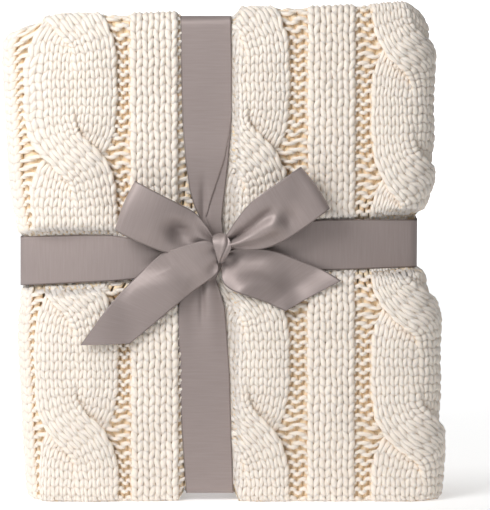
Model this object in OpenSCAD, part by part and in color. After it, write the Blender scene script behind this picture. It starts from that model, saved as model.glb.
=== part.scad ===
// Cable-knit throw blanket, folded to a sixteen-ply stack and tied both ways with a satin ribbon and a bow.
// Millimetres. +Z is up, +X is to the right seen from the front, and the front faces -Y.
// The throw is folded first along its length, which makes a strip four plies thick and as tall as the stack.
// The strip is then folded across: two inner leaves, two outer leaves, a fold on the left that goes round the
// whole stack, and two folds on the right.

/* [Throw] */
// Width of the throw laid flat
flat_w = 1270; // [1000:10:1600]
// Length of the throw laid flat
flat_l = 1520; // [1200:10:1900]
// Thickness that one knitted ply takes in the tied stack
ply_t = 5.5; // [4:0.1:8]
// Gap between neighbouring plies
ply_gap = 0.3; // [0.1:0.05:0.6]
// Inner radius of the two corners of the left fold
spine_inner_r = 3; // [1:0.5:10]
// How much the bottom folds are pressed flat by the weight on them
sole_flat = 1.2; // [0.5:0.1:2]

/* [Ribbon] */
// Width of the ribbon
ribbon_w = 39; // [28:1:46]
// Thickness of the ribbon
ribbon_t = 0.5; // [0.3:0.05:1]
// How deep the ribbon presses into the outer ply
ribbon_bite = 3.5; // [1:0.1:4.2]
// How far the groove's shoulders slope away beside the ribbon
shoulder_w = 9; // [2:1:20]
// How much tighter than the folds the crosswise ribbon turns the stack's corners
corner_pinch = 2; // [1.6:0.2:6]
// Room left round the ribbon in its groove
ribbon_play = 0.1; // [0.05:0.05:0.3]
// Slope of the ribbon that goes round the sides, lower on the left
band_tilt = 2.7; // [0:0.1:5]
// How far the crosswise ribbon lies below the knot
band_drop = 4; // [0:1:12]
// How far left of the middle the upright ribbon lies
upright_left = 12.5; // [0:0.5:30]
// Height of the knot above the surface that the throw stands on
knot_z = 198; // [150:1:240]
// Width of each ribbon where it is gathered under the knot
gather_w = 12; // [8:1:20]
// Distance from the knot over which a ribbon narrows
gather_l = 62; // [40:1:90]

/* [Bow] */
// Width of the knot
knot_w = 14; // [10:1:20]
// Height of the knot
knot_h = 19; // [14:1:26]
// Depth of the knot, out from the ribbon
knot_d = 13; // [9:1:18]
// Turn of the knot in the plane of the front
knot_turn = -12; // [-30:1:30]
// Radius of a loop's outer bend
loop_r = 10; // [6:0.5:13]
// Radius of a loop's bend inside the knot
loop_root_r = 2; // [1:0.5:3]
// Length of the left loop from the knot's centre
loop_left_l = 80; // [60:1:110]
// Direction of the left loop
loop_left_dir = 155; // [140:1:165]
// Length of the right loop from the knot's centre
loop_right_l = 84; // [60:1:110]
// Direction of the right loop
loop_right_dir = 34; // [25:1:45]
// Length of the left tail from the knot's centre
tail_left_l = 116; // [80:1:150]
// Direction of the left tail
tail_left_dir = 220; // [210:1:230]
// How far the left tail's slanting cut runs along it
tail_left_cut = 30; // [0:1:40]
// Length of the right tail from the knot's centre
tail_right_l = 79; // [60:1:120]
// Direction of the right tail
tail_right_dir = -28; // [-40:1:-20]
// How far the right tail's slanting cut runs along it
tail_right_cut = 16; // [0:1:30]
// How far a tail leans out from the front
tail_lean = 4; // [2:0.5:10]
// Distance from the knot at which a loop or tail has its full width
flare_l = 50; // [40:1:70]
// Width of a loop or tail where it enters the knot
root_w = 7; // [4:1:9]
// Gap between the knot and each loop or tail
bow_play = 0.4; // [0.2:0.1:1]

/* [Hidden] */
$fn = 64;
eps = 0.01;
big = 1000;

cream = [0.93, 0.89, 0.81];
taupe = [0.61, 0.55, 0.53];

// The strip's section, folded from the throw's length: the outer ply goes over the top in one wide fold,
// and each side turns in at the bottom in a narrow one.
leaf_t = 4 * ply_t;
wide_r = 2 * ply_t - ply_gap / 2;
narrow_r = ply_t - ply_gap / 2;
panel_l = (flat_l - PI * 1.5 * ply_t - PI * ply_t) / 4;
foot_z = narrow_r - sole_flat;
crown_z = foot_z + panel_l;
stack_h = crown_z + wide_r;
inner_end_gap = 2;

// The strip's path across, seen from above: leaves at -1.5, -0.5, 0.5 and 1.5 strips from the middle.
stack_t = 4 * leaf_t;
spine_r = spine_inner_r + leaf_t;
spine_mid_r = spine_inner_r + leaf_t / 2;
spine_straight = stack_t - 2 * spine_r;
leaf_l = (flat_w - PI * spine_mid_r - spine_straight - PI * leaf_t) / 4;
stack_w = leaf_l + spine_r + leaf_t;
leaf_x0 = -stack_w / 2 + spine_r;
leaf_x1 = stack_w / 2 - leaf_t;
inner_leaf_x0 = -stack_w / 2 + leaf_t + inner_end_gap;

// The two ribbons: the crosswise one goes over the upright one.
upright_t = stack_t - 2 * ribbon_bite + 2 * ribbon_play;
upright_h = stack_h - 2 * ribbon_bite + 2 * ribbon_play;
upright_r = max(leaf_t / 2 - ribbon_bite, 2);
upright_z = stack_h / 2;
cross_t = upright_t + 2 * (ribbon_t + ribbon_play);
cross_w = stack_w - 2 * ribbon_bite + 2 * ribbon_play;
cross_r = leaf_t - ribbon_bite - corner_pinch;
cross_z = knot_z - band_drop;

// The knot stands on the crosswise ribbon's outer face. Beside the groove the knit stands further out, and the
// loops clear that.
bow_y = -cross_t / 2 - ribbon_t;
back_y = stack_t / 2 - ply_gap / 2;
loop_stand = back_y + bow_y + bow_play;
bow_depth = 2 * loop_r + loop_stand;
front_y = bow_y - bow_depth;
centre_y = -(front_y + back_y) / 2;
knot_r = norm([knot_w, knot_h]) / 2;
bow_root = knot_r + bow_play;

// ---- Shapes that several nodes share ----

function arc(centre, r, from, to, steps) = [
    for (i = [0 : steps]) let (a = from + (to - from) * i / steps) centre + r * [cos(a), sin(a)]
];

module round_rect(w, h, r) {
    square([w - 2 * r, h], center = true);
    square([w, h - 2 * r], center = true);
    for (x = [-1, 1], y = [-1, 1])
        translate([x * (w / 2 - r), y * (h / 2 - r)]) circle(r);
}

// Outline of a slot with one end at a, of radius ra, and the other at b, of radius rb.
module tapered_slot(a, ra, b, rb) {
    run = norm(b - a);
    along = atan2(b[1] - a[1], b[0] - a[0]);
    touch = acos((ra - rb) / run);
    polygon(concat(
        arc(b, rb, along - touch, along + touch, 24),
        arc(a, ra, along + touch, along + 360 - touch, 8)
    ));
}

// Carries a flat profile round a rounded rectangle w by d. The profile's x points outwards and its y is up.
module around(w, d, r) {
    for (side = [0 : 3]) {
        out = side % 2 == 0 ? w / 2 : d / 2;
        run = (side % 2 == 0 ? d : w) - 2 * r;
        rotate(90 * side) translate([out, 0, 0]) rotate([90, 0, 0])
            linear_extrude(run, center = true) children();
        x = side == 0 || side == 3 ? 1 : -1;
        y = side < 2 ? 1 : -1;
        translate([x * (w / 2 - r), y * (d / 2 - r), 0]) rotate(90 * side)
            rotate_extrude(angle = 90) translate([r, 0]) children();
    }
}

// ---- The throw ----

// Section of the four-ply strip: x across its thickness, outwards, and y up. The outline runs down the end of the
// left inner ply, round the outside to the end of the right one, and back along the inside.
module strip_section() {
    end_z = foot_z + panel_l - inner_end_gap;
    half_gap = ply_gap / 2;
    difference() {
        polygon(concat(
            [[-half_gap, end_z]],
            arc([-ply_t, foot_z], narrow_r, 0, -180, 16),
            arc([0, crown_z], wide_r, 180, 0, 24),
            arc([ply_t, foot_z], narrow_r, 0, -180, 16),
            [[half_gap, end_z], [ply_t - half_gap, end_z]],
            arc([ply_t, foot_z], half_gap, 180, 360, 6),
            arc([0, crown_z], ply_t + half_gap, 0, 180, 16),
            arc([-ply_t, foot_z], half_gap, 180, 360, 6),
            [[half_gap - ply_t, end_z]]
        ));
        translate([-big / 2, -big]) square(big);
    }
}

// A flat length of the strip from x0 to x1, with its outside towards the front.
module leaf(x0, x1, y) {
    translate([x0, y, 0]) rotate([90, 0, 90]) linear_extrude(x1 - x0) mirror([1, 0]) strip_section();
}

// A stretch of the strip that turns about an upright line, with its outside away from that line.
module turn(x, y, from, sweep, mid_r) {
    translate([x, y, 0]) rotate(from) rotate_extrude(angle = sweep) translate([mid_r, 0]) strip_section();
}

module groove_profile() {
    floor_edge = ribbon_w / 2 + ribbon_play;
    rim_edge = floor_edge + 2 * shoulder_w;
    polygon([
        [0, -floor_edge], [0, floor_edge],
        [2 * ribbon_bite, rim_edge], [2 * leaf_t, rim_edge],
        [2 * leaf_t, -rim_edge], [2 * ribbon_bite, -rim_edge]
    ]);
}

module crosswise_place() {
    translate([0, 0, cross_z]) rotate([0, -band_tilt, 0]) children();
}

module upright_place() {
    translate([-upright_left, 0, upright_z]) rotate([0, 90, 0]) children();
}

// The stack with the ribbon's two grooves pressed into it, set in the part's frame.
module pressed() {
    translate([0, centre_y, 0]) difference() {
        children();
        crosswise_place() around(cross_w - 2 * ribbon_play, cross_t - 2 * ribbon_play, cross_r) groove_profile();
        upright_place() around(upright_h - 2 * ribbon_play, upright_t - 2 * ribbon_play, upright_r)
            groove_profile();
    }
}

module front_leaf() {
    color(cream) pressed() leaf(leaf_x0, leaf_x1, -1.5 * leaf_t);
}

module back_leaf() {
    color(cream) pressed() mirror([0, 1, 0]) leaf(leaf_x0, leaf_x1, -1.5 * leaf_t);
}

module front_inner_leaf() {
    color(cream) pressed() leaf(inner_leaf_x0, leaf_x1, -0.5 * leaf_t);
}

module back_inner_leaf() {
    color(cream) pressed() mirror([0, 1, 0]) leaf(inner_leaf_x0, leaf_x1, -0.5 * leaf_t);
}

module right_fold() {
    turn(leaf_x1, -leaf_t, -90, 180, leaf_t / 2);
}

module front_right_fold() {
    color(cream) pressed() right_fold();
}

module back_right_fold() {
    color(cream) pressed() mirror([0, 1, 0]) right_fold();
}

module left_fold() {
    color(cream) pressed() {
        for (side = [0, 1]) mirror([0, side, 0])
            turn(leaf_x0, -spine_straight / 2, 180, 90, spine_mid_r);
        translate([-stack_w / 2 + leaf_t / 2, 0, 0]) rotate(90) mirror([0, 1, 0])
            leaf(-spine_straight / 2, spine_straight / 2, 0);
    }
}

// ---- The ribbon round the stack ----

module ribbon_profile() {
    translate([0, -ribbon_w / 2]) square([ribbon_t, ribbon_w]);
}

// What a gathered ribbon leaves free beside the knot, seen along its length. side is 1 or -1, edge is where the
// ribbon's own edge lies and waist where the gathered edge lies, both measured from the knot.
module gather_cut(side, edge, waist) {
    polygon([
        [-gather_l, edge], [-knot_h / 2, waist], [knot_h / 2, waist], [gather_l, edge],
        [gather_l, edge + side * ribbon_w], [-gather_l, edge + side * ribbon_w]
    ]);
}

module front_only() {
    translate([0, bow_y - ribbon_t, 0]) rotate([-90, 0, 0]) linear_extrude(leaf_t) children();
}

module ribbon_upright() {
    color(taupe) translate([0, centre_y, 0]) difference() {
        upright_place() around(upright_h, upright_t, upright_r) ribbon_profile();
        translate([0, 0, knot_z]) front_only() for (side = [-1, 1])
            rotate(90) gather_cut(side, upright_left + side * ribbon_w / 2, side * gather_w / 2);
    }
}

module ribbon_crosswise() {
    color(taupe) translate([0, centre_y, 0]) crosswise_place() difference() {
        around(cross_w, cross_t, cross_r) ribbon_profile();
        front_only() for (side = [-1, 1])
            gather_cut(side, side * ribbon_w / 2, side * gather_w / 2);
    }
}

// ---- The bow ----

// Children are drawn with x along a loop or tail, y out from the front and z across the ribbon.
module bow_place(direction) {
    color(taupe) translate([0, centre_y + bow_y, knot_z]) rotate([0, -direction, 0]) rotate([180, 0, 0])
        children();
}

// Outline of a ribbon that is narrow at the knot and widens to its full width. cut slants its far end.
module flared(l, cut) {
    polygon([
        [bow_root, -root_w / 2], [flare_l, -ribbon_w / 2], [l - cut / 2, -ribbon_w / 2],
        [l + cut / 2, ribbon_w / 2], [flare_l, ribbon_w / 2], [bow_root, root_w / 2]
    ]);
}

module loop(direction, l) {
    root = [bow_root + loop_root_r, knot_d / 2];
    bend = [l - loop_r, loop_stand + loop_r];
    bow_place(direction) intersection() {
        linear_extrude(ribbon_w, center = true) difference() {
            tapered_slot(root, loop_root_r, bend, loop_r);
            tapered_slot(root, loop_root_r - ribbon_t, bend, loop_r - ribbon_t);
        }
        rotate([90, 0, 0]) linear_extrude(4 * bow_depth, center = true) flared(l + eps, 0);
    }
}

module tail(direction, l, cut) {
    bow_place(direction) translate([0, bow_play, 0]) rotate([0, 0, tail_lean])
        rotate([90, 0, 0]) linear_extrude(ribbon_t, center = true) flared(l, cut);
}

module knot() {
    color(taupe) translate([0, centre_y + bow_y - knot_d / 2, knot_z]) rotate([0, knot_turn, 0]) intersection() {
        rotate([90, 0, 0]) linear_extrude(2 * knot_d, center = true) round_rect(knot_w, knot_h, knot_w / 4);
        linear_extrude(2 * knot_h, center = true) round_rect(knot_w, knot_d, knot_d / 3);
    }
}

module loop_left() {
    loop(loop_left_dir, loop_left_l);
}

module loop_right() {
    loop(loop_right_dir, loop_right_l);
}

module tail_left() {
    tail(tail_left_dir, tail_left_l, tail_left_cut);
}

module tail_right() {
    tail(tail_right_dir, tail_right_l, -tail_right_cut);
}

front_leaf();
front_inner_leaf();
back_inner_leaf();
back_leaf();
front_right_fold();
back_right_fold();
left_fold();
ribbon_upright();
ribbon_crosswise();
knot();
loop_left();
loop_right();
tail_left();
tail_right();
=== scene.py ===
import math

import bmesh
import bpy
import numpy as np
from mathutils import Matrix, Vector


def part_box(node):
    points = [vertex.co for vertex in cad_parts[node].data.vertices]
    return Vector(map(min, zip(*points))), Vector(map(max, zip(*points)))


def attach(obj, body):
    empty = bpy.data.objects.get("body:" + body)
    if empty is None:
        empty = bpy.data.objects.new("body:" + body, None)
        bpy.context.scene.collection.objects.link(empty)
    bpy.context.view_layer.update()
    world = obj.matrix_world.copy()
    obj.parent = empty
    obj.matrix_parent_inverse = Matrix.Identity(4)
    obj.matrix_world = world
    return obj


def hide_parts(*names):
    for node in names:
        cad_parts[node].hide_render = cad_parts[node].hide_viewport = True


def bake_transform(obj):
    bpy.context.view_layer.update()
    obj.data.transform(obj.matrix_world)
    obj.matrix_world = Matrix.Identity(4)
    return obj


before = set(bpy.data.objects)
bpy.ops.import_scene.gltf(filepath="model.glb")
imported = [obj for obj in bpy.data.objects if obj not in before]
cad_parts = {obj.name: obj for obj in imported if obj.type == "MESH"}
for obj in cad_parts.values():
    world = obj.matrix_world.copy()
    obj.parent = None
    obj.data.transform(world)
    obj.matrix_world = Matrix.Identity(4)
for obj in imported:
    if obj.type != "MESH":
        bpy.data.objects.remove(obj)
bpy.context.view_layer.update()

# ---- Camera ----
# Straight on to the front and a little above the middle, far enough back that the sides don't show.
stack_low, stack_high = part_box("front_leaf")
look_at = Vector((0.0157, stack_low[1], 0.1935))
camera_distance = 1.9
camera_rise = math.radians(4)
view_height = 0.3965
camera_data = bpy.data.cameras.new("camera")
camera = bpy.data.objects.new("camera", camera_data)
bpy.context.scene.collection.objects.link(camera)
camera.location = look_at + camera_distance * Vector((0, -math.cos(camera_rise), math.sin(camera_rise)))
camera.rotation_euler = (math.radians(90) - camera_rise, 0, 0)
camera_data.sensor_width = 36
camera_data.lens = camera_data.sensor_width * camera_distance / view_height
bpy.context.scene.camera = camera


# ---- The folded throw: its cloth ----
# One knitted rectangle, folded along its length into a strip four plies thick and then across
# into four leaves. The cloth made here stands for the knit's inside. Its warm tan is painted shade:
# the shadowed yarn that shows deep between the stitches.
ply = 0.0055
ply_gap = 0.0003
leaf_t = 4 * ply
foot_z = ply - ply_gap / 2 - 0.0012
crown_r = 1.5 * ply
leaf_left, leaf_right = stack_low[0], stack_high[0]
leaf_w = leaf_right - leaf_left
crown_z = stack_high[2] - 2 * ply + ply_gap / 2
panel = crown_z - foot_z
stack_h = stack_high[2]
spine_r = leaf_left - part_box("left_fold")[0][0] + ply_gap / 2 - leaf_t / 2
front_y = stack_low[1] - ply_gap / 2
back_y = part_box("back_leaf")[1][1] + ply_gap / 2
middle_y = (front_y + back_y) / 2
half_depth = (back_y - front_y) / 2
spine_flat = back_y - front_y - leaf_t - 2 * spine_r
inner_leaf_w = leaf_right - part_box("front_inner_leaf")[0][0]


def strip_path(a, reach):
    """Middle of the four-ply strip, seen from above, and its outward direction. a runs to the right across
    the front and on round the folds, and is measured on the line that lies reach outside the middle."""
    fold_r, bend_r = leaf_t / 2 + reach, spine_r + reach
    right = np.maximum(a - leaf_right, 0)
    turn0 = np.clip(right / fold_r, 0, math.pi)
    run0 = np.maximum(right - math.pi * fold_r, 0)
    left = np.maximum(leaf_left - a, 0)
    turn1 = np.clip(left / bend_r, 0, math.pi / 2)
    left = np.maximum(left - bend_r * math.pi / 2, 0)
    run1 = np.clip(left, 0, spine_flat)
    left = np.maximum(left - spine_flat, 0)
    turn2 = np.clip(left / bend_r, 0, math.pi / 2)
    left = np.maximum(left - bend_r * math.pi / 2, 0)
    run2 = np.clip(left, 0, leaf_w)
    left = np.maximum(left - leaf_w, 0)
    turn3 = np.clip(left / fold_r, 0, math.pi)
    run3 = np.maximum(left - math.pi * fold_r, 0)
    half = leaf_t / 2
    x = (np.clip(a, leaf_left, leaf_right) - spine_r * np.sin(turn1) + spine_r * (1 - np.cos(turn2)) + run2
         + half * (np.sin(turn0) + np.sin(turn3)) - run0 - run3)
    y = (front_y + half + spine_r * (1 - np.cos(turn1)) + run1 + spine_r * np.sin(turn2)
         + half * (np.cos(turn3) - np.cos(turn0)))
    turned = turn1 + turn2 + turn3 - turn0
    return x, y, -np.sin(turned), -np.cos(turned)


def strip_section(b, rise):
    """Offset from the strip's middle, and height. b runs up the strip's outside, over its crown, down again
    and past the foot it turns in. rise is how far a point stands proud of the ply's middle."""
    fold_r = ply / 2
    below = np.maximum(foot_z - b, 0)
    turn0 = np.clip(below / fold_r, 0, math.pi)
    run0 = np.maximum(below - math.pi * fold_r, 0)
    above = np.maximum(b - crown_z, 0)
    turn1 = np.clip(above / crown_r, 0, math.pi)
    above = np.maximum(above - math.pi * crown_r, 0)
    run1 = np.clip(above, 0, panel)
    above = np.maximum(above - panel, 0)
    turn2 = np.clip(above / fold_r, 0, math.pi)
    run2 = np.maximum(above - math.pi * fold_r, 0)
    turned = turn1 + turn2 - turn0
    out = (crown_r * np.cos(turn1) - fold_r * (1 - np.cos(turn0)) + fold_r * (1 - np.cos(turn2))
           + rise * np.cos(turned))
    up = (np.clip(b, foot_z, crown_z) - fold_r * (np.sin(turn0) + np.sin(turn2)) + run0 + run2
          + crown_r * np.sin(turn1) - run1 + rise * np.sin(turned))
    return out, up


def ramp(value, start, end):
    """0 at start, 1 at end, and smooth between them."""
    t = np.clip((value - start) / (end - start), 0, 1)
    return t * t * (3 - 2 * t)


def press(value, limit, softness):
    """Keeps value under limit, and squeezes what comes near it."""
    over = np.maximum(value - (limit - softness), 0)
    return np.where(value > limit - softness, limit - softness * np.exp(-over / softness), value)


ribbon_w = 0.039
upright_x = -0.0128
crosswise_z = 0.1956
crosswise_slope = math.tan(math.radians(2.95))
ribbon_depth = half_depth - 0.0034
ribbon_top = stack_h - 0.0058
ribbon_bottom = 0.0058
ribbon_left = -0.160
ribbon_right = 0.150


def round_corner(p, q, limit_p, limit_q, size):
    """Cuts the corner between two limits, so that the ribbon can turn round it."""
    over = np.maximum(p - limit_p + q - limit_q + size, 0) / 2
    return p - over, q - over


def sag(x):
    """How far the tied front and back fall away towards the sides."""
    return 0.013 * np.minimum(np.abs(x) / 0.155, 1) ** 3


def settle(x, y, z, sink):
    """How the soft stack stands: it leans a little, its corners drop, and the tied ribbon pulls it in. sink
    is how far under the ribbon's face a layer is kept."""
    high = z / stack_h
    # The right side stands higher than the left one, and both top corners drop.
    z = z * (1 + 0.016 * x / 0.16) - 0.001
    z = z - 0.011 * ramp(-x, 0.134, 0.158) * ramp(high, 0.55, 1) ** 2
    z = z - 0.011 * ramp(x, 0.142, 0.168) * ramp(high, 0.85, 1) ** 2
    # Both sides lean to the left as they go up, and are drawn in where the crosswise ribbon goes round them.
    from_band = np.maximum(np.abs(z - crosswise_z - crosswise_slope * x) - ribbon_w / 2, 0)
    squeeze = np.exp(-(from_band / 0.026) ** 2)
    x = x - ramp(x, 0.105, 0.155) * (0.010 * squeeze + 0.030 * (z - stack_h / 2))
    x = x - ramp(-x, 0.135, 0.160) * (0.0015 + 0.050 * (z - stack_h / 2) - 0.005 * squeeze)
    # The stack swells between the ribbons.
    from_upright = np.maximum(np.abs(x - upright_x) - ribbon_w / 2, 0)
    puff = ramp(from_upright, 0, 0.05) * ramp(from_band, 0, 0.05) * ramp(0.165 - np.abs(x), 0, 0.07)
    depth = (y - middle_y) * (1 + 0.05 * puff)
    # The ribbon's edge sinks in, and the knit swells up beside it.
    shoulder = 0.013
    clear = 0.03
    beside = clear * ramp(from_upright - 2 * sink, 0, shoulder)
    across = clear * ramp(from_band - 2 * sink, 0, shoulder)
    face = ribbon_depth - sink
    limit = face - sag(x) + np.minimum(beside, across)
    depth = np.sign(depth) * press(np.abs(depth), limit, 0.004)
    z = press(z, ribbon_top - sink + beside, 0.004)
    z = -press(-z, beside - sink - ribbon_bottom, 0.002)
    x = press(x, ribbon_right - sink + across, 0.005)
    x = -press(-x, across - sink - ribbon_left, 0.004)
    way, depth = np.sign(depth), np.abs(depth)
    depth, z = round_corner(depth, z, face + beside, ribbon_top - sink + beside, 0.007)
    depth, low = round_corner(depth, -z, face + beside, beside - sink - ribbon_bottom, 0.007)
    depth, x = round_corner(depth, x, face - sag(x) + across, ribbon_right - sink + across, 0.007)
    depth, left = round_corner(depth, -x, face - sag(x) + across, across - sink - ribbon_left, 0.007)
    return -left, middle_y + way * depth, np.maximum(-low, 0)


def fold_up(mesh, a, b, rise, reach=crown_r, sink=0):
    """Puts a mesh's vertices where the folded throw has them, with the small unevenness of soft knitting."""
    a = a + 0.0004 * np.sin(190 * b + 5 * np.sin(83 * a)) + 0.0003 * np.sin(431 * b + 60 * a)
    b = b + 0.0004 * np.sin(157 * a + 4 * np.sin(61 * b)) + 0.0003 * np.sin(389 * a + 97 * b)
    rise = rise + 0.0004 * np.sin(233 * a + 3 * np.sin(120 * b)) * np.sin(174 * b + 2 * np.sin(95 * a))
    x, y, out_x, out_y = strip_path(a, reach)
    out, up = strip_section(b, rise)
    place = np.stack(settle(x + out * out_x, y + out * out_y, up, sink), axis=1)
    mesh.vertices.foreach_set("co", place.astype(np.float32).ravel())
    mesh.update()


def new_piece(name, mesh):
    piece = bpy.data.objects.new(name, mesh)
    bpy.context.scene.collection.objects.link(piece)
    for face in mesh.polygons:
        face.use_smooth = True
    return piece


def finished(piece):
    """The piece with its modifiers made real."""
    graph = bpy.context.evaluated_depsgraph_get()
    mesh = bpy.data.meshes.new_from_object(piece.evaluated_get(graph), depsgraph=graph)
    old = piece.data
    piece.modifiers.clear()
    piece.data = mesh
    bpy.data.meshes.remove(old)
    return piece


def grid_mesh(name, columns, rows):
    """A flat grid whose UV map holds the column and row numbers of each corner."""
    bm = bmesh.new()
    bmesh.ops.create_grid(bm, x_segments=columns, y_segments=rows, size=1)
    uv = bm.loops.layers.uv.new("cloth")
    for face in bm.faces:
        for loop in face.loops:
            loop[uv].uv = ((loop.vert.co.x + 1) / 2, (loop.vert.co.y + 1) / 2)
    mesh = bpy.data.meshes.new(name)
    bm.to_mesh(mesh)
    bm.free()
    return mesh


def flat_places(mesh):
    place = np.empty(3 * len(mesh.vertices), np.float32)
    mesh.vertices.foreach_get("co", place)
    return place.reshape(-1, 3).astype(float)


# The cloth's grid has a line at the end of each straight and each bend, and its lines lie closer together
# in the bends.
bend = leaf_t / 2 * math.pi
corner = spine_r * math.pi / 2
left_stops = [leaf_left]
for length in (corner, spine_flat, corner, leaf_w, bend, inner_leaf_w):
    left_stops.append(left_stops[-1] - length)
across_stops = left_stops[::-1] + [leaf_right, leaf_right + bend, leaf_right + bend + inner_leaf_w]
across = []
for start, end in zip(across_stops, across_stops[1:]):
    straight = end - start > 0.1 or abs(end - start - spine_flat) < 1e-6
    step = 0.008 if straight else 0.0025
    parts = math.ceil((end - start) / step)
    across += [start + (end - start) * k / parts for k in range(parts)]
across = np.array(across + [across_stops[-1]])
foot = ply / 2 * math.pi
inner_end = panel - 0.002
up_stops = [foot_z - foot - inner_end, foot_z - foot, foot_z, crown_z, crown_z + math.pi * crown_r]
up_stops += [up_stops[-1] + panel, up_stops[-1] + panel + foot, up_stops[-1] + panel + foot + inner_end]
upwards = []
for start, end in zip(up_stops, up_stops[1:]):
    straight, outside = end - start > 0.1, start == foot_z
    step = 0.006 if outside else 0.012 if straight else 0.0022
    parts = math.ceil((end - start) / step)
    upwards += [start + (end - start) * k / parts for k in range(parts)]
upwards = np.array(upwards + [up_stops[-1]])
cloth_mesh = grid_mesh("inside_shade_cloth", len(across) - 1, len(upwards) - 1)
flat = flat_places(cloth_mesh)
fold_up(cloth_mesh,
        np.interp((flat[:, 0] + 1) / 2, np.linspace(0, 1, len(across)), across),
        np.interp((flat[:, 1] + 1) / 2, np.linspace(0, 1, len(upwards)), upwards),
        np.full(len(flat), -0.0020), reach=0, sink=0.004)
inside_shade_cloth = new_piece("inside_shade_cloth", cloth_mesh)
backing = inside_shade_cloth.modifiers.new("thickness", "SOLIDIFY")
backing.thickness = 0.0008
backing.offset = 0
finished(inside_shade_cloth)


def shader(name):
    """A new material, its node tree and its Principled shader."""
    material = bpy.data.materials.new(name)
    material.use_nodes = True
    tree = material.node_tree
    return material, tree, tree.nodes["Principled BSDF"]


def add_node(tree, kind, inputs=(), **settings):
    node = tree.nodes.new(kind)
    for key, value in settings.items():
        setattr(node, key, value)
    for key, value in dict(inputs).items():
        if isinstance(value, bpy.types.NodeSocket):
            tree.links.new(value, node.inputs[key])
        else:
            node.inputs[key].default_value = value
    return node


# The inside's warm tan is painted shade for the shadowed yarn between the stitches; the noise only varies its
# tone at random.
inside_shade_paint, tree, skin = shader("knit_inside_painted_shade")
skin.inputs["Roughness"].default_value = 0.95
place = add_node(tree, "ShaderNodeTexCoord").outputs["Object"]
fuzz = add_node(tree, "ShaderNodeTexNoise", {"Vector": place, "Scale": 900, "Detail": 3})
gap_shade = add_node(tree, "ShaderNodeValToRGB", {"Fac": fuzz.outputs["Fac"]})
gap_shade.color_ramp.elements[0].position = 0.3
gap_shade.color_ramp.elements[0].color = (0.66, 0.52, 0.34, 1)
gap_shade.color_ramp.elements[1].position = 0.7
gap_shade.color_ramp.elements[1].color = (0.80, 0.67, 0.48, 1)
tree.links.new(gap_shade.outputs["Color"], skin.inputs["Base Color"])
inside_shade_cloth.data.materials.append(inside_shade_paint)
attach(inside_shade_cloth, "wrapped_throw")
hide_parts("front_leaf", "front_inner_leaf", "back_inner_leaf", "back_leaf",
            "front_right_fold", "back_right_fold", "left_fold")

# ---- Yarn ----
# Thick soft-spun cotton-like yarn, cream, with a loose twist and a short fuzz.
# Its colour holds painted shade: it is paler where the yarn stands up and a warmer tan deep down,
# where one stitch shades the next.
yarn_paint, tree, skin = shader("cream_yarn")
skin.inputs["Roughness"].default_value = 0.85
skin.inputs["Sheen Weight"].default_value = 0.25
skin.inputs["Sheen Roughness"].default_value = 0.6
skin.inputs["Subsurface Weight"].default_value = 0.4
skin.inputs["Subsurface Radius"].default_value = (1.0, 0.85, 0.7)
skin.inputs["Subsurface Scale"].default_value = 0.003
place = add_node(tree, "ShaderNodeTexCoord").outputs["Object"]
standing = add_node(tree, "ShaderNodeAttribute", attribute_name="standing").outputs["Fac"]
# Painted shade: the deep parts of the yarn are painted a warmer tan, the parts that stand up paler.
shade = add_node(tree, "ShaderNodeValToRGB", {"Fac": standing})
shade.color_ramp.elements[0].position = 0.33
shade.color_ramp.elements[0].color = (0.90, 0.665, 0.41, 1)
shade.color_ramp.elements[1].position = 0.85
shade.color_ramp.elements[1].color = (0.89, 0.788, 0.693, 1)
clouds = add_node(tree, "ShaderNodeTexNoise", {"Vector": place, "Scale": 45, "Detail": 2})
patch = add_node(tree, "ShaderNodeMapRange", {"Value": clouds.outputs["Fac"], "From Min": 0.3,
                                              "From Max": 0.7, "To Min": 0.95, "To Max": 1.03})
toned = add_node(tree, "ShaderNodeMix", data_type="RGBA", blend_type="MULTIPLY")
toned.inputs["Factor"].default_value = 1
tree.links.new(shade.outputs["Color"], toned.inputs["A"])
tree.links.new(patch.outputs["Result"], toned.inputs["B"])
tree.links.new(toned.outputs["Result"], skin.inputs["Base Color"])
along = add_node(tree, "ShaderNodeUVMap", uv_map="yarn").outputs["UV"]
twist = add_node(tree, "ShaderNodeTexWave", {"Vector": along, "Scale": 1.0, "Distortion": 1.2, "Detail": 2},
                 wave_type="BANDS", bands_direction="DIAGONAL")
fibre = add_node(tree, "ShaderNodeTexNoise", {"Vector": place, "Scale": 2600, "Detail": 4})
relief = add_node(tree, "ShaderNodeMath", {0: twist.outputs["Fac"], 1: fibre.outputs["Fac"]}, operation="ADD")
bump = add_node(tree, "ShaderNodeBump",
                {"Strength": 0.3, "Distance": 0.0004, "Height": relief.outputs["Value"]})
tree.links.new(bump.outputs["Normal"], skin.inputs["Normal"])

# ---- Stitches ----
# Each course of the knit is one yarn bent into loops. A plain stitch shows the loop's two legs, as a V, and
# a purl stitch shows its head and feet, as a wavy bar.
row_h = 0.00714


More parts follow.
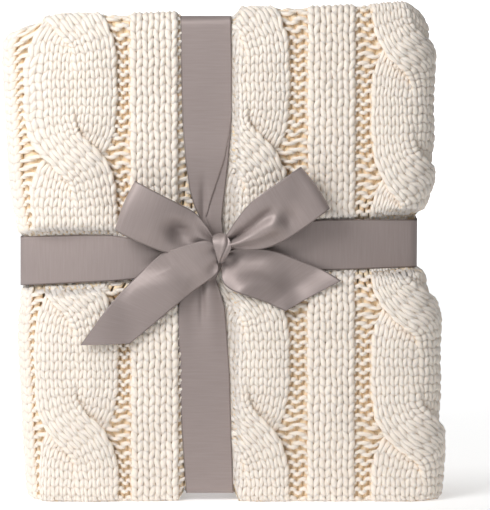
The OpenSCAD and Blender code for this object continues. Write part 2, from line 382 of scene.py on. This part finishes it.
def stitch_course(name, wales, wale_w, loop_h, lean, sway, yarn_r, purl=False):
    """One course of stitches side by side, its ends closed. x runs across, y up and z out of the cloth. A
    loop reaches loop_h up and down, its legs lean in by lean, and sway is how far it goes in and out."""
    steps, sides = 14, 6
    bm = bmesh.new()
    frames = []
    for k in range(steps + 1):
        t = -math.pi + 2 * math.pi * k / steps
        at = Vector((wale_w * t / (2 * math.pi) + lean * math.sin(2 * t), loop_h * math.cos(t),
                     (1 if purl else -1) * sway * math.cos(2 * t)))
        heading = Vector((wale_w / (2 * math.pi) + 2 * lean * math.cos(2 * t), -loop_h * math.sin(t),
                          (-2 if purl else 2) * sway * math.sin(2 * t))).normalized()
        flank = heading.cross(Vector((0, 0, 1))).normalized()
        face = flank.cross(heading)
        thick = Matrix.Scale(yarn_r * (0.84 + 0.2 * math.sin(t) ** 2), 4)
        frames.append(Matrix.Translation(at) @ Matrix((flank, face, heading)).transposed().to_4x4() @ thick)
    bmesh.ops.create_circle(bm, segments=sides, radius=1, matrix=frames[0])
    ring = list(bm.edges)
    for before, after in zip(frames, frames[1:]):
        grown = bmesh.ops.extrude_edge_only(bm, edges=ring)["geom"]
        ring = [g for g in grown if isinstance(g, bmesh.types.BMEdge)]
        verts = [g for g in grown if isinstance(g, bmesh.types.BMVert)]
        bmesh.ops.transform(bm, matrix=after @ before.inverted(), verts=verts)
    bm.verts.index_update()
    uv = bm.loops.layers.uv.new("yarn")
    for face in bm.faces:
        around = [loop.vert.index % sides for loop in face.loops]
        for loop, turn in zip(face.loops, around):
            whole = 1 if turn == 0 and sides - 1 in around else 0
            loop[uv].uv = (3 * (loop.vert.index // sides) / steps, whole + turn / sides)
    stitch = list(bm.verts) + list(bm.edges) + list(bm.faces)
    for k in range(1, wales):
        copy = bmesh.ops.duplicate(bm, geom=stitch)["geom"]
        verts = [g for g in copy if isinstance(g, bmesh.types.BMVert)]
        bmesh.ops.translate(bm, vec=(wale_w * k, 0, 0), verts=verts)
    bmesh.ops.remove_doubles(bm, verts=bm.verts, dist=1e-6)
    bmesh.ops.holes_fill(bm, edges=[e for e in bm.edges if e.is_boundary], sides=sides)
    bmesh.ops.translate(bm, vec=(wale_w / 2, 0, 0), verts=bm.verts)
    bmesh.ops.recalc_face_normals(bm, faces=bm.faces)
    mesh = bpy.data.meshes.new(name)
    bm.to_mesh(mesh)
    bm.free()
    return mesh


def knit_panel(name, course, rows):
    """A flat panel: the course repeated up the cloth."""
    piece = new_piece(name, course.copy())
    repeat = piece.modifiers.new("rows", "ARRAY")
    repeat.use_relative_offset = False
    repeat.use_constant_offset = True
    repeat.constant_offset_displace = (0, row_h, 0)
    repeat.count = rows
    return finished(piece)


def dress(piece, standing):
    """Stores how far each point stands out, for the painted shade in the yarn's colour, and finishes a panel
    of the throw.
    """
    mark = piece.data.attributes.new("standing", "FLOAT", "POINT")
    mark.data.foreach_set("value", np.clip(standing, 0, 1).astype(np.float32))
    piece.data.materials.clear()
    piece.data.materials.append(yarn_paint)
    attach(piece, "wrapped_throw")
    knit.append(piece)


knit = []
back_limit = -0.0024
wale_w = 0.0090
first_row = foot_z - foot
last_row = crown_z + math.pi * crown_r + 0.010
rows = round((last_row - first_row) / row_h)
plain_sway, purl_sway = 0.0014, 0.0017

# ---- Ribs ----
# Four plain wales side by side between the purl grounds. They stand up as a flat, even rope ladder.
rib_wales = 4
rib_course = stitch_course("rib_course", rib_wales, wale_w, loop_h=0.0060, lean=0.185 * wale_w,
                           sway=plain_sway, yarn_r=0.0025)
rib_w = rib_wales * wale_w
rib_places = [-0.577, -0.4455, -0.314, -0.1735, -0.0547, 0.0828, 0.2135]


def lie_flat(b):
    """How far the raised knit keeps its height: it is pressed flatter over the crown and under the foot."""
    over_crown = ramp(b, crown_z - 0.030, crown_z + 0.008)
    under_foot = ramp(-b, -foot_z - 0.015, -foot_z + 0.004)
    return 1 - 0.7 * over_crown - 0.4 * under_foot


def lay_rib(name, centre):
    piece = knit_panel(name, rib_course, rows)
    flat = flat_places(piece.data)
    a = centre + flat[:, 0] - rib_w / 2
    b = first_row + flat[:, 1]
    bow = 1 - ((flat[:, 0] - rib_w / 2) / (rib_w / 2)) ** 2
    rise = np.maximum(flat[:, 2], back_limit) + lie_flat(b) * (0.0004 + 0.0010 * bow)
    fold_up(piece.data, a, b, rise)
    dress(piece, (flat[:, 2] + 0.002) / 0.005)


for number, centre in enumerate(rib_places, 1):
    lay_rib(f"rib_{number}", centre)

# ---- Cables ----
# Ten plain wales in two strands of five. The strands lie side by side, and every few inches the left one
# crosses over the right one.
strand_wales = 5
strand_wale_w = 0.0066
strand_w = strand_wales * strand_wale_w
strand_course = stitch_course("strand_course", strand_wales, strand_wale_w, loop_h=0.0056,
                              lean=0.21 * strand_wale_w, sway=plain_sway, yarn_r=0.0021)
cable_places = [-0.511, -0.3795, -0.248, -0.1165, 0.0170, 0.1470]
lowest_crossing = [0.056, 0.050, 0.060, 0.058, 0.056, 0.052]
crossing_gap = [0.102, 0.104, 0.100, 0.108, 0.109, 0.099]
cable_crossings = [[low + gap * k for k in range(-2, 7)] for low, gap in zip(lowest_crossing, crossing_gap)]


def strand_centre(crossings, v):
    """How far a strand's middle lies to one side, its slant, and the crossing count, at height v."""
    count = np.interp(v, crossings, np.arange(len(crossings)))
    turning = math.pi / (crossings[1] - crossings[0])
    sharp = 2.1
    lean = np.tanh(sharp * np.sin(math.pi * count))
    at = strand_w / 2 * lean / math.tanh(sharp)
    slope = strand_w / 2 * sharp * np.cos(math.pi * count) * turning * (1 - lean ** 2) / math.tanh(sharp)
    return at, np.arctan(slope), count


def lay_strand(name, centre, crossings, side):
    piece = knit_panel(name, strand_course, rows)
    flat = flat_places(piece.data)
    v = first_row + flat[:, 1]
    u = flat[:, 0] - strand_w / 2
    at, slant, count = strand_centre(crossings, v)
    at, slant = -side * at, -side * slant
    over = at + u * np.cos(slant)
    turned = np.cos(math.pi * count)
    rise = 0.0012 + side * 0.0034 * turned ** 3 + 0.0030 * np.clip(1 - (over / strand_w) ** 2, 0, 1)
    rise = rise + 0.0010 * (1 - (2 * u / strand_w) ** 2)
    b = v - u * np.sin(slant)
    fold_up(piece.data, centre + over, b, np.maximum(flat[:, 2], back_limit) + lie_flat(b) * rise)
    dress(piece, (flat[:, 2] + 0.002) / 0.005)


for number, (centre, crossings) in enumerate(zip(cable_places, cable_crossings), 1):
    lay_strand(f"cable_{number}_over", centre, crossings, 1)
    lay_strand(f"cable_{number}_under", centre, crossings, -1)

# ---- Purl grounds ----
# One or two purl wales fill the space between a cable and a rib. They lie lower, and show as wavy bars with
# shadowed holes between them. Where a cable narrows at a crossing the bars stretch out to meet it.


def cable_edge(number, v):
    """Half the cable's width at height v."""
    at, slant, count = strand_centre(cable_crossings[number], v)
    return np.abs(at) + strand_w / 2 * np.cos(slant)


def lay_ground(name, number, rib_centre, wales):
    course = stitch_course(name + "_course", wales, wale_w, loop_h=0.0052, lean=0.12 * wale_w,
                           sway=purl_sway, yarn_r=0.0021, purl=True)
    piece = knit_panel(name, course, rows)
    flat = flat_places(piece.data)
    b = first_row + row_h / 2 + flat[:, 1]
    side = 1 if rib_centre > cable_places[number] else -1
    inner = cable_places[number] + side * (cable_edge(number, b) - 0.0020)
    outer = rib_centre - side * (rib_w / 2 - 0.0012)
    share = flat[:, 0] / (wales * wale_w)
    left, right = np.minimum(inner, outer), np.maximum(inner, outer)
    rise = np.maximum(flat[:, 2], back_limit) - 0.0008
    fold_up(piece.data, left + share * (right - left), b, rise)
    dress(piece, (flat[:, 2] + 0.0026) / 0.006)


for number in range(len(cable_places)):
    for side in (0, 1):
        rib_centre = rib_places[number + side]
        room = abs(rib_centre - cable_places[number]) - strand_w - rib_w / 2
        lay_ground(f"purl_{2 * number + side + 1}", number, rib_centre, 1 if room < wale_w else 2)

# ---- Tops of the inner leaves ----
# The same knit goes on over the two inner leaves. Only their rounded tops show, between the outer ones.
top_rows = 7
top_first = crown_z - 0.009
for number, (start, end) in enumerate(((across_stops[-2] + 0.004, across_stops[-1]),
                                       (across_stops[0], across_stops[1] - 0.004)), 1):
    wales = round((end - start) / wale_w)
    course = stitch_course(f"inner_top_{number}_course", wales, wale_w, loop_h=0.0060, lean=0.185 * wale_w,
                           sway=plain_sway, yarn_r=0.0022)
    piece = knit_panel(f"inner_top_{number}", course, top_rows)
    flat = flat_places(piece.data)
    fold_up(piece.data, start + flat[:, 0] * (end - start) / (wales * wale_w), top_first + flat[:, 1],
            np.maximum(flat[:, 2], back_limit) - 0.0010, reach=0)
    dress(piece, (flat[:, 2] + 0.002) / 0.005)

# ---- Ribbon ----
# Plain-woven satin ribbon, 39 mm wide, taupe, with a fine selvedge along both edges. It shines softly, and
# its weft shows as faint lines across it.
satin, tree, skin = shader("taupe_satin")
skin.inputs["Roughness"].default_value = 0.52
skin.inputs["Metallic"].default_value = 0.4
skin.inputs["Anisotropic"].default_value = 0.5
skin.inputs["Sheen Weight"].default_value = 0.3
skin.inputs["Sheen Roughness"].default_value = 0.4
cloth_uv = add_node(tree, "ShaderNodeUVMap", uv_map="cloth").outputs["UV"]
weft_place = add_node(tree, "ShaderNodeMapping", {"Vector": cloth_uv, "Scale": (0.15, 2.5, 1)})
weft = add_node(tree, "ShaderNodeTexNoise",
                {"Vector": weft_place.outputs["Vector"], "Scale": 12, "Detail": 4})
weft_shade = add_node(tree, "ShaderNodeValToRGB", {"Fac": weft.outputs["Fac"]})
weft_shade.color_ramp.elements[0].position = 0.3
weft_shade.color_ramp.elements[0].color = (0.315, 0.260, 0.247, 1)
weft_shade.color_ramp.elements[1].position = 0.7
weft_shade.color_ramp.elements[1].color = (0.345, 0.287, 0.274, 1)
across_uv = add_node(tree, "ShaderNodeSeparateXYZ", {"Vector": cloth_uv}).outputs["X"]
from_middle = add_node(tree, "ShaderNodeMath", {0: across_uv, 1: 0.5}, operation="SUBTRACT")
from_middle = add_node(tree, "ShaderNodeMath", {0: from_middle.outputs["Value"]}, operation="ABSOLUTE")
selvedge = add_node(tree, "ShaderNodeMapRange", {"Value": from_middle.outputs["Value"], "From Min": 0.468,
                                                 "From Max": 0.480, "To Min": 0, "To Max": 1})
edged = add_node(tree, "ShaderNodeMix", {"Factor": selvedge.outputs["Result"]}, data_type="RGBA")
tree.links.new(weft_shade.outputs["Color"], edged.inputs["A"])
edged.inputs["B"].default_value = (0.235, 0.193, 0.182, 1)
tree.links.new(edged.outputs["Result"], skin.inputs["Base Color"])
bump = add_node(tree, "ShaderNodeBump", {"Strength": 0.15, "Distance": 0.0002, "Height": weft.outputs["Fac"]})
tree.links.new(bump.outputs["Normal"], skin.inputs["Normal"])

ribbon_t = 0.0004
loop_l = 0.190
left_tail_l = 0.130
right_tail_l = 0.085
band_y = middle_y - ribbon_depth


def smooth_line(points, count):
    """count points along a smooth curve through the given ones, in metres from millimetres."""
    points = np.array(points, float) / 1000
    ends = [2 * points[0] - points[1], *points, 2 * points[-1] - points[-2]]
    gaps = np.linalg.norm(np.diff(points, axis=0), axis=1)
    where = np.concatenate([[0], np.cumsum(gaps)])
    line = []
    for distance in np.linspace(0, where[-1], count):
        i = min(int(np.searchsorted(where, distance, side="right")) - 1, len(points) - 2)
        t = (distance - where[i]) / gaps[i]
        p0, p1, p2, p3 = ends[i:i + 4]
        line.append(0.5 * (2 * p1 + (p2 - p0) * t + (2 * p0 - 5 * p1 + 4 * p2 - p3) * t ** 2
                           + (3 * p1 - p0 - 3 * p2 + p3) * t ** 3))
    return np.array(line)


def shape_ribbon(mesh, place, length):
    """Moves a flat grid's corners to place, and stretches its UV map to the ribbon's length."""
    mesh.vertices.foreach_set("co", place.astype(np.float32).ravel())
    for loop in mesh.uv_layers["cloth"].data:
        loop.uv.y *= length / ribbon_w
    mesh.update()


def ribbon_sheet(name, left, right, gather, length, columns=32, rows=110):
    """A ribbon between two edge curves. gather gives how far each point stands off the straight line between
    the edges, in millimetres, from how far it lies along the ribbon (0 to 1) and across it (0 to 1)."""
    mesh = grid_mesh(name, columns, rows)
    flat = flat_places(mesh)
    u, s = (flat[:, 0] + 1) / 2, (flat[:, 1] + 1) / 2
    left, right = smooth_line(left, rows + 1), smooth_line(right, rows + 1)
    at = np.rint(s * rows).astype(int)
    middle = (left + right) / 2
    out = np.cross(np.gradient(middle, axis=0), right - left)
    out = out / np.linalg.norm(out, axis=1)[:, None]
    place = over_the_knit(left[at] + (right - left)[at] * u[:, None] + out[at] * gather(s, u)[:, None] / 1000)
    shape_ribbon(mesh, place, length)
    return ribbon_piece(name, mesh)


def ribbon_piece(name, mesh):
    piece = new_piece(name, mesh)
    body = piece.modifiers.new("thickness", "SOLIDIFY")
    body.thickness = ribbon_t
    body.offset = 0
    piece.data.materials.append(satin)
    finished(piece)
    return piece


# How far forward the knit stands, on a grid of cells over the front.
cell = 0.003
grid_left = -0.195
grid_columns, grid_rows = 130, 150
knit_front = np.full((grid_columns, grid_rows), band_y)
for piece in knit:
    place = flat_places(piece.data)
    place = place[(place[:, 1] < middle_y) & (np.abs(place[:, 0]) < 0.19)]
    column = np.rint((place[:, 0] - grid_left) / cell).astype(int)
    row = np.rint(place[:, 2] / cell).astype(int)
    np.minimum.at(knit_front, (column, row), place[:, 1])


def around(grid):
    """The grid itself and shifted to each of its eight neighbours."""
    padded = np.pad(grid, 1, mode="edge")
    return [padded[i:i + grid_columns, j:j + grid_rows] for i in range(3) for j in range(3)]


for _ in range(2):
    knit_front = np.minimum.reduce(around(knit_front))
for _ in range(6):
    knit_front = np.mean(around(knit_front), axis=0)


def over_the_knit(place):
    """Lifts part of the bow off the ribbon's plane to where the knit under it stands."""
    column = np.clip((place[:, 0] - grid_left) / cell, 0, grid_columns - 1.1)
    row = np.clip(place[:, 2] / cell, 0, grid_rows - 1.1)
    i, j = column.astype(int), row.astype(int)
    p, q = column - i, row - j
    top = (knit_front[i, j] * (1 - p) * (1 - q) + knit_front[i + 1, j] * p * (1 - q)
           + knit_front[i, j + 1] * (1 - p) * q + knit_front[i + 1, j + 1] * p * q)
    place[:, 1] += np.minimum(top - band_y, 0)
    return place


def hump(value, centre, width):
    return np.exp(-((value - centre) / width) ** 2)


# ---- Upright span of the ribbon ----
# From the knot it goes up over the top, down the back, under and up to the knot again. It is gathered at both
# ends, and above the knot its right side is tucked behind in one long pleat.
front, back = -(ribbon_depth + ribbon_t / 2), ribbon_depth + ribbon_t / 2
corner_r = 0.006
top_z, low_z = ribbon_top + ribbon_t, ribbon_bottom - ribbon_t


def round_the_stack(s, near, far, low, high, start, end):
    """A loop round a box with rounded corners, in the plane of depth and one other direction: from start on
    the front, past high, along the back, past low and up to end. Gives the other direction and the depth at
    s, and the loop's length."""
    corners = [(start, near), (high - corner_r, near), (high, near + corner_r), (high, far - corner_r),
               (high - corner_r, far), (low + corner_r, far), (low, far - corner_r), (low, near + corner_r),
               (low + corner_r, near), (end, near)]
    path = [corners[0], corners[1]]
    for k in range(1, 8, 2):
        a, b = np.array(corners[k]), np.array(corners[k + 1])
        pivot = np.array((a[0], b[1])) if k in (1, 5) else np.array((b[0], a[1]))
        for turn in np.linspace(0, math.pi / 2, 7)[1:]:
            path.append(tuple(pivot + (a - pivot) * math.cos(turn) + (b - pivot) * math.sin(turn)))
        path.append(corners[k + 2])
    path = np.array(path)
    where = np.concatenate([[0], np.cumsum(np.linalg.norm(np.diff(path, axis=0), axis=1))])
    at = s * where[-1]
    return np.interp(at, where, path[:, 0]), np.interp(at, where, path[:, 1]), where[-1]


mesh = grid_mesh("upright_span", 48, 420)
flat = flat_places(mesh)
u, s = (flat[:, 0] + 1) / 2, (flat[:, 1] + 1) / 2
z, y, upright_l = round_the_stack(s, front, back, low_z, top_z, start=0.201, end=0.194)
up_end, down_end = s < 0.35, s > 0.65
# In front, above the knot: its left edge, the fold of its pleat and its right edge at each height.
heights = np.array([0.201, 0.2088, 0.2216, 0.2321, 0.2438, 0.267, 0.287, 0.302, 0.342, 0.378])
x_left = np.interp(z, heights, np.array([-6, -10, -19, -24, -27.4, -30.6, -32.2, -33.0, -33.9, -34.4]) / 1000)
x_fold = np.interp(z, heights, np.array([-3, -8, -14.7, -11.4, -7.7, -0.1, 3.7, 5.3, 5.6, 4.8]) / 1000)
x_right = np.interp(z, heights, np.array([0, -1.5, -2.5, -1.3, 0.2, 2.8, 4.6, 5.4, 5.6, 4.8]) / 1000)
tuck = np.clip((ribbon_w - x_right + x_left) / 2, 0, 0.8 * (x_fold - x_left))
developed = u * (x_right - x_left + 2 * tuck)
lengths = (x_fold - x_left, tuck, x_right - x_fold + tuck)
second = np.clip(developed - lengths[0], 0, lengths[1])
third = np.clip(developed - lengths[0] - lengths[1], 0, None)
x_top = x_left + np.minimum(developed, lengths[0]) - second + third
# How far it stands in front of its own plane there, with one layer of the pleat over the next.
layer = 0.0012 * ramp(tuck, 0, 0.003)
deep_top = layer * (1 - 0.6 * ramp(developed, lengths[0] - 0.0015, lengths[0] + 0.0015 + tuck)
                    ) + 0.0020 * ramp(0.25 - z, 0, 0.04)
deep_top -= 0.0022 * hump(x_top, -0.0165, 0.0028) * ramp(0.262 - z, 0, 0.03)
# In front, below the knot: its two edges at each height, and how far it stands forward.
lows = np.array([0.0, 0.0078, 0.057, 0.1006, 0.1333, 0.1529, 0.1646, 0.175, 0.194])
x_left = np.interp(z, lows, np.array([-30.0, -30.6, -34.0, -36.0, -36.8, -36.2, -33.0, -27, -9]) / 1000)
x_right = np.interp(z, lows, np.array([7.0, 6.6, 4.9, 3.8, 1.5, -0.1, -3.6, -7.0, 2]) / 1000)
x_low = x_left + u * (x_right - x_left)
deep_low = 0.0013 * ramp(z, 0.10, 0.165) * (2.1 + np.sin(9.5 * u + 1.3))
deep_low -= 0.0028 * hump(x_low, -0.0176, 0.0026) * ramp(z, 0.132, 0.160)
# Over the top, down the back and under the stack it lies flat at its full width.
x_back = upright_x - ribbon_w / 2 + u * ribbon_w
over_top = ramp(s, 0.185, 0.30)
under = ramp(s, 0.70, 0.80)
x = (x_top * (1 - over_top) + x_back * over_top) * (1 - under) + x_low * under
on_front = (y < front + 0.0005) & (up_end | down_end)
y = y - np.where(on_front, np.where(up_end, deep_top, deep_low), 0)
place = np.stack([x, middle_y + y, z], axis=1)
shape_ribbon(mesh, place, upright_l)
upright_span = ribbon_piece("upright_span", mesh)
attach(upright_span, "wrapped_throw")
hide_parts("ribbon_upright")

# ---- Crosswise span of the ribbon ----
# It goes round the sides and the back over the upright span, a little higher on the right, and is gathered
# into the knot from both sides.
mesh = grid_mesh("crosswise_span", 32, 400)
flat = flat_places(mesh)
u, s = (flat[:, 0] + 1) / 2, (flat[:, 1] + 1) / 2
over_upright = 2 * ribbon_t
clear_of_side = 1.5 * ribbon_t
x, y, crosswise_l = round_the_stack(s, front - over_upright, back + over_upright,
                                    ribbon_left - clear_of_side, ribbon_right + clear_of_side,
                                    start=0.002, end=-0.008)
# The heights of its two edges along the front. Round the back it lies flat at its full width.
reach = np.array([-160, -115, -89, -68, -50, -30, -10, -8, 2, 15, 35, 60, 77, 93, 150]) / 1000
high = np.array([206.8, 208.6, 208.6, 205.6, 203, 201, 203, 204,
                 205, 208, 214, 219.5, 221, 221, 220.4]) / 1000
low = np.array([168.6, 171.5, 173, 175, 180, 186, 193, 194,
                195, 194, 189, 183.5, 181.5, 181.7, 183.2]) / 1000
rising = crosswise_z + crosswise_slope * x
round_back = ramp(y, front + 0.001, front + 0.03)
top_edge = np.interp(x, reach, high) * (1 - round_back) + (rising + ribbon_w / 2) * round_back
low_edge = np.interp(x, reach, low) * (1 - round_back) + (rising - ribbon_w / 2) * round_back
z = low_edge + u * (top_edge - low_edge)
near_knot = ramp(0.075 - np.abs(x + 0.003), 0, 0.06) * (1 - round_back)
y = y - np.sign(y) * np.minimum(sag(x), 2 * np.abs(y) / 3)
y = y - near_knot * (0.0012 + 0.0012 * np.sin(11 * u + 1))
y = y - (1 - round_back) * (0.0030 * u * ramp(x, 0.03, 0.08) + 0.0025 * (1 - u) * ramp(-x, 0.03, 0.08))
place = np.stack([x, middle_y + y, z], axis=1)
shape_ribbon(mesh, place, crosswise_l)
crosswise_span = ribbon_piece("crosswise_span", mesh)
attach(crosswise_span, "wrapped_throw")
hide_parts("ribbon_crosswise")

# ---- Left loop of the bow ----
# The ribbon leaves the knot flat against the throw, turns over at the tip and comes back in front. It is
# pinched where it enters the knot, which leaves a hollow in its front layer.


def left_gather(s, u):
    back_way = 1 - ramp(s, 0.42, 0.5)
    toward = 1 - u
    front_part = (1.5 * np.sin(math.pi * u) - 10.5 * hump(s, 0.80, 0.065) * hump(toward, 0.52, 0.21)
                  + 3.2 * hump(toward, 0.86, 0.10) * ramp(s, 0.74, 0.86)
                  + 1.6 * np.sin(14 * u) * ramp(s, 0.84, 0.96))
    return front_part * (1 - back_way) + back_way * 0.6 * np.sin(math.pi * u)


left_loop = ribbon_sheet(
    "left_loop",
    [(-9, -38, 200), (-20, -36, 197), (-36, -34.6, 198), (-66, -34.6, 206), (-81, -36, 213),
     (-84.4, -42, 214.6), (-81, -48.5, 212), (-68, -50, 205.3), (-50, -46, 197.6), (-35, -39.5, 194),
     (-21, -38, 195), (-9, -38.5, 199)],
    [(-8.5, -38, 206), (-20, -36, 221), (-32, -34.6, 230), (-50, -34.6, 240), (-65, -36, 249),
     (-68.5, -42, 252), (-66, -48.5, 250.6), (-49.6, -51, 242), (-34, -50, 234), (-22.5, -48, 227),
     (-14.5, -45, 217.6), (-8.5, -41, 208)],
    left_gather, loop_l)
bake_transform(left_loop)
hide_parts("loop_left")

# ---- Right loop of the bow ----
# The same on the right, pointing higher. Here the pinch rolls into a tube near the knot and ends in a pucker.


def right_gather(s, u):
    back_way = 1 - ramp(s, 0.42, 0.5)
    front_part = (1.5 * np.sin(math.pi * u)
                  - 5.6 * hump(u, 0.40 + 0.16 * (s - 0.8), 0.12) * ramp(s, 0.68, 0.78)
                  + 4.2 * hump(u, 0.66, 0.14) * ramp(s, 0.70, 0.78)
                  - 6.2 * hump(s, 0.690, 0.040) * hump(u, 0.68, 0.19)
                  + 1.0 * np.sin(13 * u) * ramp(s, 0.86, 0.96))
    return front_part * (1 - back_way) + back_way * 0.6 * np.sin(math.pi * u)


right_loop = ribbon_sheet(
    "right_loop",
    [(1, -38, 207), (10, -36, 221), (24, -34.6, 236), (44, -34.6, 252), (55, -36, 260), (58.3, -44, 262.6),
     (56, -51.2, 261), (38.9, -50.4, 249.6), (27, -50, 241), (17.9, -48, 233.3), (9.7, -45, 222.8),
     (3.5, -43, 213), (1, -41, 208.8)],
    [(4.8, -38, 200), (18, -36, 199.5), (36, -34.6, 203), (62, -34.6, 217), (77, -36, 227),
     (80.6, -44, 230.6), (78, -51.2, 228.6), (60, -49.6, 214.8), (46, -47, 205.5), (32, -45, 199.6),
     (18, -43, 198.2), (8, -42, 198.6), (4.8, -41, 199.5)],
    right_gather, loop_l)
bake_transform(right_loop)
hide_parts("loop_right")

# ---- Left tail ----
# The longer tail. It comes out of the knot in front of the loop, opens at once to its full width and hangs
# down to the left, with its end cut level.


def left_tail_gather(s, u):
    return (2.4 * np.sin(math.pi * u) * ramp(s, 0.02, 0.2) * (1 - 0.5 * s)
            - 2.6 * hump(s, 0.10, 0.05) * hump(u, 0.8, 0.14)
            + 1.0 * np.sin(12 * u) * (1 - ramp(s, 0.0, 0.22)))


left_tail = ribbon_sheet(
    "left_tail",
    [(-7, -44, 203), (-16, -47, 205.6), (-30, -46.5, 201.8), (-42.6, -44, 197.6), (-50, -42.2, 194.2),
     (-68.3, -38.4, 177.4), (-89.2, -36, 155.2), (-111.8, -35.2, 124.4)],
    [(-5.5, -41, 189), (-5.2, -42, 181), (-12, -40, 174.6), (-19.4, -38.2, 169.2), (-27, -37, 163.4),
     (-43, -35.6, 150.6), (-58, -34.9, 138), (-73.6, -34.6, 125.4)],
    left_tail_gather, left_tail_l, rows=90)
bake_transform(left_tail)
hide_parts("tail_left")

# ---- Right tail ----
# The shorter tail. It leaves the knot under the right loop, waves once and ends in a slanting cut.


def right_tail_gather(s, u):
    return (2.2 * np.sin(math.pi * u) * ramp(s, 0.02, 0.15) + 2.4 * (1 - ramp(s, 0.0, 0.28))
            - 2.8 * hump(s, 0.42, 0.13) * (0.6 + 0.4 * u) + 4.0 * hump(s, 0.80, 0.16)
            + 0.9 * np.sin(11 * u) * (1 - ramp(s, 0.0, 0.2)))


right_tail = ribbon_sheet(
    "right_tail",
    [(3, -37.5, 197), (9, -38, 198.2), (22, -37.5, 198.6), (38, -36, 197.2), (58, -36, 189.6),
     (77.3, -36, 181.5), (90.4, -34.8, 173.8)],
    [(-2.6, -38, 188), (-1.6, -38.5, 173.6), (5, -37, 167.4), (16, -36, 163.4), (31, -35, 157.6),
     (39, -35, 154), (47, -34.6, 150.4)],
    right_tail_gather, right_tail_l, rows=70)
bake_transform(right_tail)
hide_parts("tail_right")

# ---- Knot ----
# The ribbon's single turn round the middle of the bow, squeezed narrow, with a pleat down it.


def knot_gather(s, u):
    pleat = 0.6 * hump(u, 1.1 - 1.1 * s, 0.12) - 0.9 * hump(u, 1.25 - 1.1 * s, 0.06)
    return 1.1 * np.sin(math.pi * u) + pleat


bow_knot = ribbon_sheet(
    "bow_knot",
    [(-5, -34, 206), (-8.2, -38, 209), (-9.2, -43.5, 208.4), (-9.4, -46.6, 205), (-8.2, -47.4, 200),
     (-6.6, -46.6, 195), (-5.6, -43, 190.6), (-5, -38, 188.6), (-4, -34, 190)],
    [(-1, -34, 206), (1, -38, 209.6), (2.4, -43.5, 208.6), (5.2, -46.4, 203.4), (5.0, -47.2, 199),
     (2.6, -46.4, 194.5), (0.4, -43, 190.4), (-0.6, -38, 188.6), (-1.6, -34, 190)],
    knot_gather, length=0.060, columns=24, rows=48)
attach(bow_knot, "wrapped_throw")
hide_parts("knot")

# ---- Floor and light ----
# A white floor with a white wall far behind it. The wall and the floor's far part are lit on their own, so
# that they stay white. A broad soft light hangs at the front upper left, and the room is brighter on that
# side, so that the right side falls into a soft shade.


def panel_at(name, size, place, turn, colour, glow, glow_from):
    """A flat white panel that glows by itself from glow_from on, measured along its own y."""
    bm = bmesh.new()
    bmesh.ops.create_grid(bm, x_segments=1, y_segments=1, size=1)
    bmesh.ops.scale(bm, vec=(size[0] / 2, size[1] / 2, 1), verts=bm.verts)
    mesh = bpy.data.meshes.new(name)
    bm.to_mesh(mesh)
    bm.free()
    piece = new_piece(name, mesh)
    piece.location = place
    piece.rotation_euler = [math.radians(degrees) for degrees in turn]
    paint, tree, skin = shader(name + "_paint")
    skin.inputs["Base Color"].default_value = (colour, colour, colour, 1)
    skin.inputs["Roughness"].default_value = 0.8
    skin.inputs["Emission Color"].default_value = (1, 1, 1, 1)
    where = add_node(tree, "ShaderNodeSeparateXYZ",
                     {"Vector": add_node(tree, "ShaderNodeTexCoord").outputs["Object"]}).outputs["Y"]
    lit = add_node(tree, "ShaderNodeMapRange", {"Value": where, "From Min": glow_from,
                                                "From Max": glow_from + 0.45, "To Min": 0, "To Max": glow})
    tree.links.new(lit.outputs["Result"], skin.inputs["Emission Strength"])
    piece.data.materials.append(paint)


panel_at("floor", size=(6, 8), place=(0, 0.5, 0), turn=(0, 0, 0), colour=0.92, glow=0.58, glow_from=-0.80)
panel_at("wall", size=(3, 2.4), place=(0, 4, 1.2), turn=(90, 0, 0), colour=0.9, glow=0.9, glow_from=-9)

world = bpy.data.worlds.new("studio")
bpy.context.scene.world = world
world.use_nodes = True
tree = world.node_tree
bright_side = (-0.62, -0.55, 0.56)
facing = add_node(tree, "ShaderNodeTexCoord").outputs["Generated"]
toward = add_node(tree, "ShaderNodeVectorMath", {0: facing, 1: bright_side}, operation="DOT_PRODUCT")
bright = add_node(tree, "ShaderNodeMapRange", {"Value": toward.outputs["Value"], "From Min": -0.3,
                                               "From Max": 0.8, "To Min": 0.08, "To Max": 0.55})
tree.links.new(bright.outputs["Result"], tree.nodes["Background"].inputs["Strength"])
tree.nodes["Background"].inputs["Color"].default_value = (1, 1, 1, 1)


def softbox(name, place, aim, size, power):
    data = bpy.data.lights.new(name, "AREA")
    data.shape = "RECTANGLE"
    data.size, data.size_y = size
    data.energy = power
    lamp = bpy.data.objects.new(name, data)
    bpy.context.scene.collection.objects.link(lamp)
    lamp.location = place
    lamp.rotation_euler = (Vector(aim) - Vector(place)).to_track_quat("-Z", "Y").to_euler()


softbox("key", place=(-0.58, -0.76, 0.77), aim=(0, 0, 0.2), size=(0.5, 0.5), power=9.0)
bpy.context.scene.view_settings.view_transform = "Standard"
